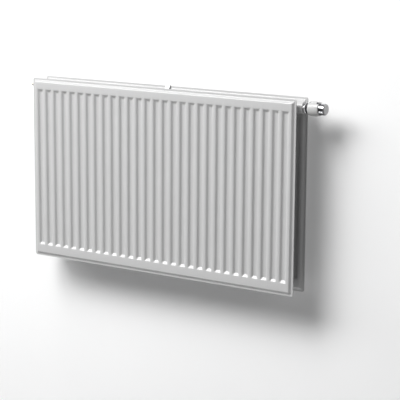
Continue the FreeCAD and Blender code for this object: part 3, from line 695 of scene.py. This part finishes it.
# ---------------------------------------------------------------- thermostatic head
def make_union_nut():
    """The hexagon nut that draws the head onto the valve, with a lip that holds the adapter."""
    low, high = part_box("union_nut")
    corner_r = 18.6 * MM
    across_flats = 33.0 * MM
    bore = 15.05 * MM
    mouth = 13.1 * MM
    chamfer_x = 1.6 * MM
    chamfer_r = 2.2 * MM
    lip = high.x - 1.8 * MM
    profile = [(low.x, bore), (low.x, corner_r - chamfer_r), (low.x + chamfer_x, corner_r),
               (high.x - chamfer_x, corner_r), (high.x, corner_r - chamfer_r), (high.x, mouth),
               (lip, mouth), (lip, bore)]
    lathe("union_nut_turned", profile, "radiator", "nut_nickel", ["union_nut"],
          segments=144, radius_at=hexagon_limit(across_flats, math.pi / 4))


def make_adapter():
    """The dark sleeve between nut and shell: a flange, a neck and a cup with fine ribs."""
    low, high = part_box("adapter_sleeve")
    nut_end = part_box("union_nut")[1].x
    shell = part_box("head_shell")[0].x
    flange = 14.9 * MM
    neck = 13.0 * MM
    cup = 16.0 * MM
    spigot = 14.0 * MM
    bore = 12.0 * MM
    flange_end = nut_end - 1.85 * MM
    cup_start = nut_end + 0.4 * MM
    profile = [(low.x, bore), (low.x, flange), (flange_end, flange), (flange_end, neck),
               (cup_start, neck), (cup_start, cup - MM), (cup_start + MM, cup), (shell, cup),
               (shell, spigot), (high.x, spigot), (high.x, bore)]
    ribs = 36
    rib_depth = 0.35 * MM

    def ribbed(along, radius, angle):
        on_cup = radius > cup - 0.1 * MM
        wave = 0.5 - 0.5 * math.cos(ribs * angle)
        return radius - rib_depth * wave if on_cup else radius
    lathe("adapter_sleeve_moulded", profile, "radiator", "dark_plastic", ["adapter_sleeve"],
          segments=288, radius_at=ribbed)


def barrel_radius(place, start, end):
    """The shell's outer radius along the head: slim at both ends, fullest at its middle."""
    slim = 20.2 * MM
    swell = 2.25 * MM
    margin = 0.03
    t = margin + (1 - 2 * margin) * (place - start) / (end - start)
    return slim + swell * math.sin(math.pi * min(max(t, 0), 1))


def make_head_shell():
    """The white barrel, open towards the grip, with a wall round the adapter's spigot."""
    low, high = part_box("head_shell")
    start = low.x
    end = high.x
    bore = 17.0 * MM
    mouth = 14.06 * MM
    wall = start + 2.5 * MM
    round_off = 0.5 * MM
    barrel_start = start + 1.6 * MM
    barrel_end = end - 1.2 * MM
    steps = 28
    section = [(start, mouth), (start, 18.2 * MM), (start + round_off, 19.3 * MM)]
    for k in range(steps + 1):
        place = barrel_start + (barrel_end - barrel_start) * k / steps
        section.append((place, barrel_radius(place, start, end)))
    section += [(end - round_off, 19.7 * MM), (end, 19.0 * MM), (end, bore), (wall, bore),
                (wall, mouth)]
    lathe("head_shell_moulded", section, "radiator", "head_plastic", ["head_shell"], segments=160)


def patch_on_barrel(x0, x1, angle0, angle1, lift, slant=0.0):
    """A thin inlay that follows the shell's outside, between two places along the head and two
    angles in degrees above the front. slant moves its far side along the head."""
    low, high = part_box("head_shell")
    work = bmesh.new()
    across = 10
    along = 12
    edge_lift = 0.02 * MM
    root = 0.8 * MM
    top = []
    base = []
    for j in range(along + 1):
        angle = math.radians(angle0 + (angle1 - angle0) * j / along)
        row_top = []
        row_base = []
        for i in range(across + 1):
            place = x0 + (x1 - x0) * i / across + slant * j / along
            edge = i in (0, across) or j in (0, along)
            outside = barrel_radius(place, low.x, high.x)
            face = outside + (edge_lift if edge else lift)
            for row, r in ((row_top, face), (row_base, outside - root)):
                y = AXIS_Y - r * math.cos(angle)
                z = UPPER_Z + r * math.sin(angle)
                row.append(work.verts.new((place, y, z)))
        top.append(row_top)
        base.append(row_base)
    for rows in (top, base):
        for j in range(along):
            for i in range(across):
                work.faces.new((rows[j][i], rows[j][i + 1], rows[j + 1][i + 1], rows[j + 1][i]))
    for j in range(along):
        for i in (0, across):
            work.faces.new((top[j][i], top[j + 1][i], base[j + 1][i], base[j][i]))
    for i in range(across):
        for j in (0, along):
            work.faces.new((top[j][i], top[j][i + 1], base[j][i + 1], base[j][i]))
    return work


def make_marks():
    """The dark pointer at the grip's end of the shell, and at its other end the release slot, drawn as
    painted shade: a thin dark patch where the slot's opening is shaded.
    """
    low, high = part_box("head_shell")
    pointer = patch_on_barrel(high.x - 8 * MM, high.x - 1.4 * MM, 52.0, 72.0, lift=0.12 * MM)
    piece("setting_pointer_inlay", pointer, "radiator", "dark_plastic", ["setting_pointer"])
    # painted shade: a thin dark patch stands for the shaded opening of the release slot
    slot = patch_on_barrel(low.x + 3.5 * MM, low.x + 5.5 * MM, 50.0, 72.0, lift=0.03 * MM,
                           slant=4.5 * MM)
    piece("release_slot_painted_shade", slot, "radiator", "dark_plastic", [])


def smooth_step(value):
    """0 up to 0 and 1 from 1, with a smooth rise between."""
    t = min(max(value, 0.0), 1.0)
    return t * t * (3 - 2 * t)


def make_grip():
    """The chrome ring, with broad flutes that stop short of its ends. One flute faces the front."""
    low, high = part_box("grip_ring")
    bore = 15.0 * MM
    chamfer = 0.7 * MM
    flat_half = 16.0                # degrees, half of a flute's floor
    side = 5.0                      # degrees, from the floor up to the land
    end_land = 0.3 * MM
    end_slope = 0.9 * MM

    def fluted(along, r, angle):
        if r < bore + 0.5 * MM:
            return r
        period = 2 * math.pi / FLUTES
        offset = abs((angle + period / 2) % period - period / 2)
        across = 1 - smooth_step((math.degrees(offset) - flat_half) / side)
        inset = min(along - low.x, high.x - along)
        return r - FLUTE_DEPTH * across * smooth_step((inset - end_land) / end_slope)
    length = high.x - low.x
    near_ends = [0.05, 0.06, 0.07, 0.08]
    far_ends = [0.92, 0.93, 0.94, 0.95]
    profile = [(low.x, bore), (low.x, GRIP_R - chamfer), (low.x + chamfer, GRIP_R)]
    profile += [(low.x + length * f, GRIP_R) for f in near_ends + [0.3, 0.5, 0.7] + far_ends]
    profile += [(high.x - chamfer, GRIP_R), (high.x, GRIP_R - chamfer), (high.x, bore)]
    lathe("grip_ring_plated", profile, "head_grip", "grip_chrome", ["grip_ring"],
          segments=288, radius_at=fluted)


def make_end_cap():
    """The satin cap in the grip's end, with a rounded rim and a shallow dish."""
    low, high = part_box("end_cap")
    ring_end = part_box("grip_ring")[1].x
    rim = 16.7 * MM
    plug = 14.95 * MM
    dish = 12.0 * MM
    dish_floor = high.x - 0.35 * MM
    profile = [(low.x, 0), (low.x, plug), (ring_end, plug), (ring_end, rim - 0.3 * MM),
               (ring_end + 0.3 * MM, rim), (high.x - 2.2 * MM, rim), (high.x - 0.5 * MM, rim - 1.6 * MM),
               (high.x, rim - 3.4 * MM), (high.x, dish), (dish_floor, dish - 0.6 * MM),
               (dish_floor, 0)]
    lathe("end_cap_satin", rounded(profile, 0.9 * MM), "head_grip", "cap_satin", ["end_cap"], segments=128)


def make_head():
    make_union_nut()
    make_adapter()
    make_head_shell()
    make_marks()
    make_grip()
    make_end_cap()


# ---------------------------------------------------------------- carried-over CAD nodes
def dress_frame():
    """Every CAD node gets its procedural material, and edges of folded steel and of the hooks'
    liners are broken."""
    slots = {row["node"]: row["material_slot"] for row in frame["record"]["subparts"]}
    for node, obj in frame["nodes"].items():
        obj.data.materials.clear()
        obj.data.materials.append(MATERIALS[slots[node]])
    steel = ("bracket_left", "bracket_right", "upper_lugs", "lower_lugs", "spacer_strap",
             "lower_strap")
    liners = ("upper_hook_liners", "lower_hook_liners")
    widths = {node: 0.6 for node in steel}
    widths.update({node: 0.5 for node in liners})
    for node, width in widths.items():
        bevel = frame["nodes"][node].modifiers.new("broken_edges", "BEVEL")
        bevel.width = width * MM
        bevel.segments = 2
        bevel.limit_method = "ANGLE"


# ---------------------------------------------------------------- studio
def soft_light(name, direction, distance, size, power):
    """A round lamp that faces the radiator's middle. Metres for distance and size, watts for
    power."""
    data = bpy.data.lights.new(name, "AREA")
    data.shape = "DISK"
    data.size = size
    data.energy = power
    obj = bpy.data.objects.new(name, data)
    aim = Vector(direction).normalized()
    obj.location = Vector((0, AXIS_Y, 0)) + aim * distance
    obj.rotation_euler = (-aim).to_track_quat("-Z", "Y").to_euler()
    bpy.context.scene.collection.objects.link(obj)


def stage_plane(name, corners, grey):
    """A painted rectangle that isn't part of the object."""
    mesh = bpy.data.meshes.new(name)
    mesh.from_pydata(corners, [], [(0, 1, 2, 3)])
    obj = bpy.data.objects.new(name, mesh)
    bpy.context.scene.collection.objects.link(obj)
    material, nodes, links, shader, place = new_material(name + "_paint")
    faint = noise(nodes, links, place, scale=3.0)
    low = (grey * 0.99,) * 3
    links.new(tint(nodes, links, faint, low, (grey,) * 3), shader.inputs["Base Color"])
    shader.inputs["Roughness"].default_value = 0.9
    shader.inputs["Specular IOR Level"].default_value = 0.1
    obj.data.materials.append(material)
    return obj, material


def see_through_from_behind(obj, material):
    """The backdrop shows only from the front. It casts no shadow, and diffuse light doesn't
    bounce off it."""
    nodes = material.node_tree.nodes
    links = material.node_tree.links
    clear = nodes.new("ShaderNodeBsdfTransparent")
    mix = nodes.new("ShaderNodeMixShader")
    side = nodes.new("ShaderNodeNewGeometry")
    links.new(side.outputs["Backfacing"], mix.inputs["Fac"])
    links.new(nodes["Principled BSDF"].outputs["BSDF"], mix.inputs[1])
    links.new(clear.outputs["BSDF"], mix.inputs[2])
    links.new(mix.outputs["Shader"], nodes["Material Output"].inputs["Surface"])
    obj.visible_diffuse = False
    obj.visible_shadow = False


def make_surroundings():
    """Dim all round as a light, so that the wall's shadow stays deep, but pale to look at."""
    world = bpy.data.worlds.new("studio")
    world.use_nodes = True
    nodes = world.node_tree.nodes
    links = world.node_tree.links
    dim = nodes["Background"]
    dim.inputs["Color"].default_value = (0.96, 0.98, 1, 1)
    dim.inputs["Strength"].default_value = 0.06
    pale = nodes.new("ShaderNodeBackground")
    pale.inputs["Color"].default_value = (1, 1, 1, 1)
    pale.inputs["Strength"].default_value = 0.75
    path = nodes.new("ShaderNodeLightPath")
    mix = nodes.new("ShaderNodeMixShader")
    links.new(path.outputs["Is Camera Ray"], mix.inputs["Fac"])
    links.new(dim.outputs["Background"], mix.inputs[1])
    links.new(pale.outputs["Background"], mix.inputs[2])
    links.new(mix.outputs["Shader"], nodes["World Output"].inputs["Surface"])
    bpy.context.scene.world = world


def make_studio():
    """A floor, the wall that the radiator hangs on, and soft lamps. Most light comes from the
    upper left, in front."""
    floor_z = -2.1
    reach = 9.0
    stage_plane("floor", [(-reach, -reach, floor_z), (reach, -reach, floor_z),
                          (reach, reach, floor_z), (-reach, reach, floor_z)], 0.60)
    behind = cad_high.y + 1.0 * MM
    backdrop, paint = stage_plane("backdrop", [(-reach, behind, floor_z), (reach, behind, floor_z),
                                               (reach, behind, reach), (-reach, behind, reach)], 0.96)
    see_through_from_behind(backdrop, paint)
    away = 5.0
    width = 2.0
    soft_light("front_key", (-0.15, -1.0, 1.3), away, width, 86)
    soft_light("high_key", (-0.4, -1.0, 1.7), away, width, 73)
    soft_light("low_key", (-0.3, -1.0, 0.9), away, width, 23)
    soft_light("left_key", (-0.7, -1.0, 1.0), away, width, 77)
    soft_light("far_left_key", (-0.9, -1.0, 1.2), away, width, 52)
    soft_light("left_side", (-1.5, -1.0, 1.0), away, width, 46)
    soft_light("far_left_side", (-2.6, -1.0, 1.0), away, width, 36)
    soft_light("overhead", (0.0, -0.3, 1.0), 4.0, 3.0, 11)
    soft_light("right_fill", (1.0, -0.5, 0.3), 5.0, 2.5, 18)
    soft_light("rear_fill", (0.3, 1.0, 0.6), 4.5, 2.8, 75)
    make_surroundings()
    bpy.context.scene.view_settings.view_transform = "Standard"


def make_camera():
    """A long lens, to the right of the radiator and a little above it."""
    data = bpy.data.cameras.new("camera")
    data.lens = 131.3
    data.sensor_width = 36.0
    camera = bpy.data.objects.new("camera", data)
    yaw = math.radians(33.10)
    pitch = math.radians(-11.08)
    roll = math.radians(0.40)
    forward = Vector((-math.sin(yaw) * math.cos(pitch), math.cos(yaw) * math.cos(pitch), math.sin(pitch)))
    camera.location = (2.600, -3.851, 0.835)
    level = forward.to_track_quat("-Z", "Y").to_matrix()
    camera.rotation_euler = (level @ Matrix.Rotation(roll, 3, "Z")).to_euler()
    bpy.context.scene.collection.objects.link(camera)
    bpy.context.scene.camera = camera


dress_frame()
make_panels()
make_fittings()
make_vent_plug()
make_vent_spout()
make_vent_screw()
make_head()
make_studio()
make_camera()
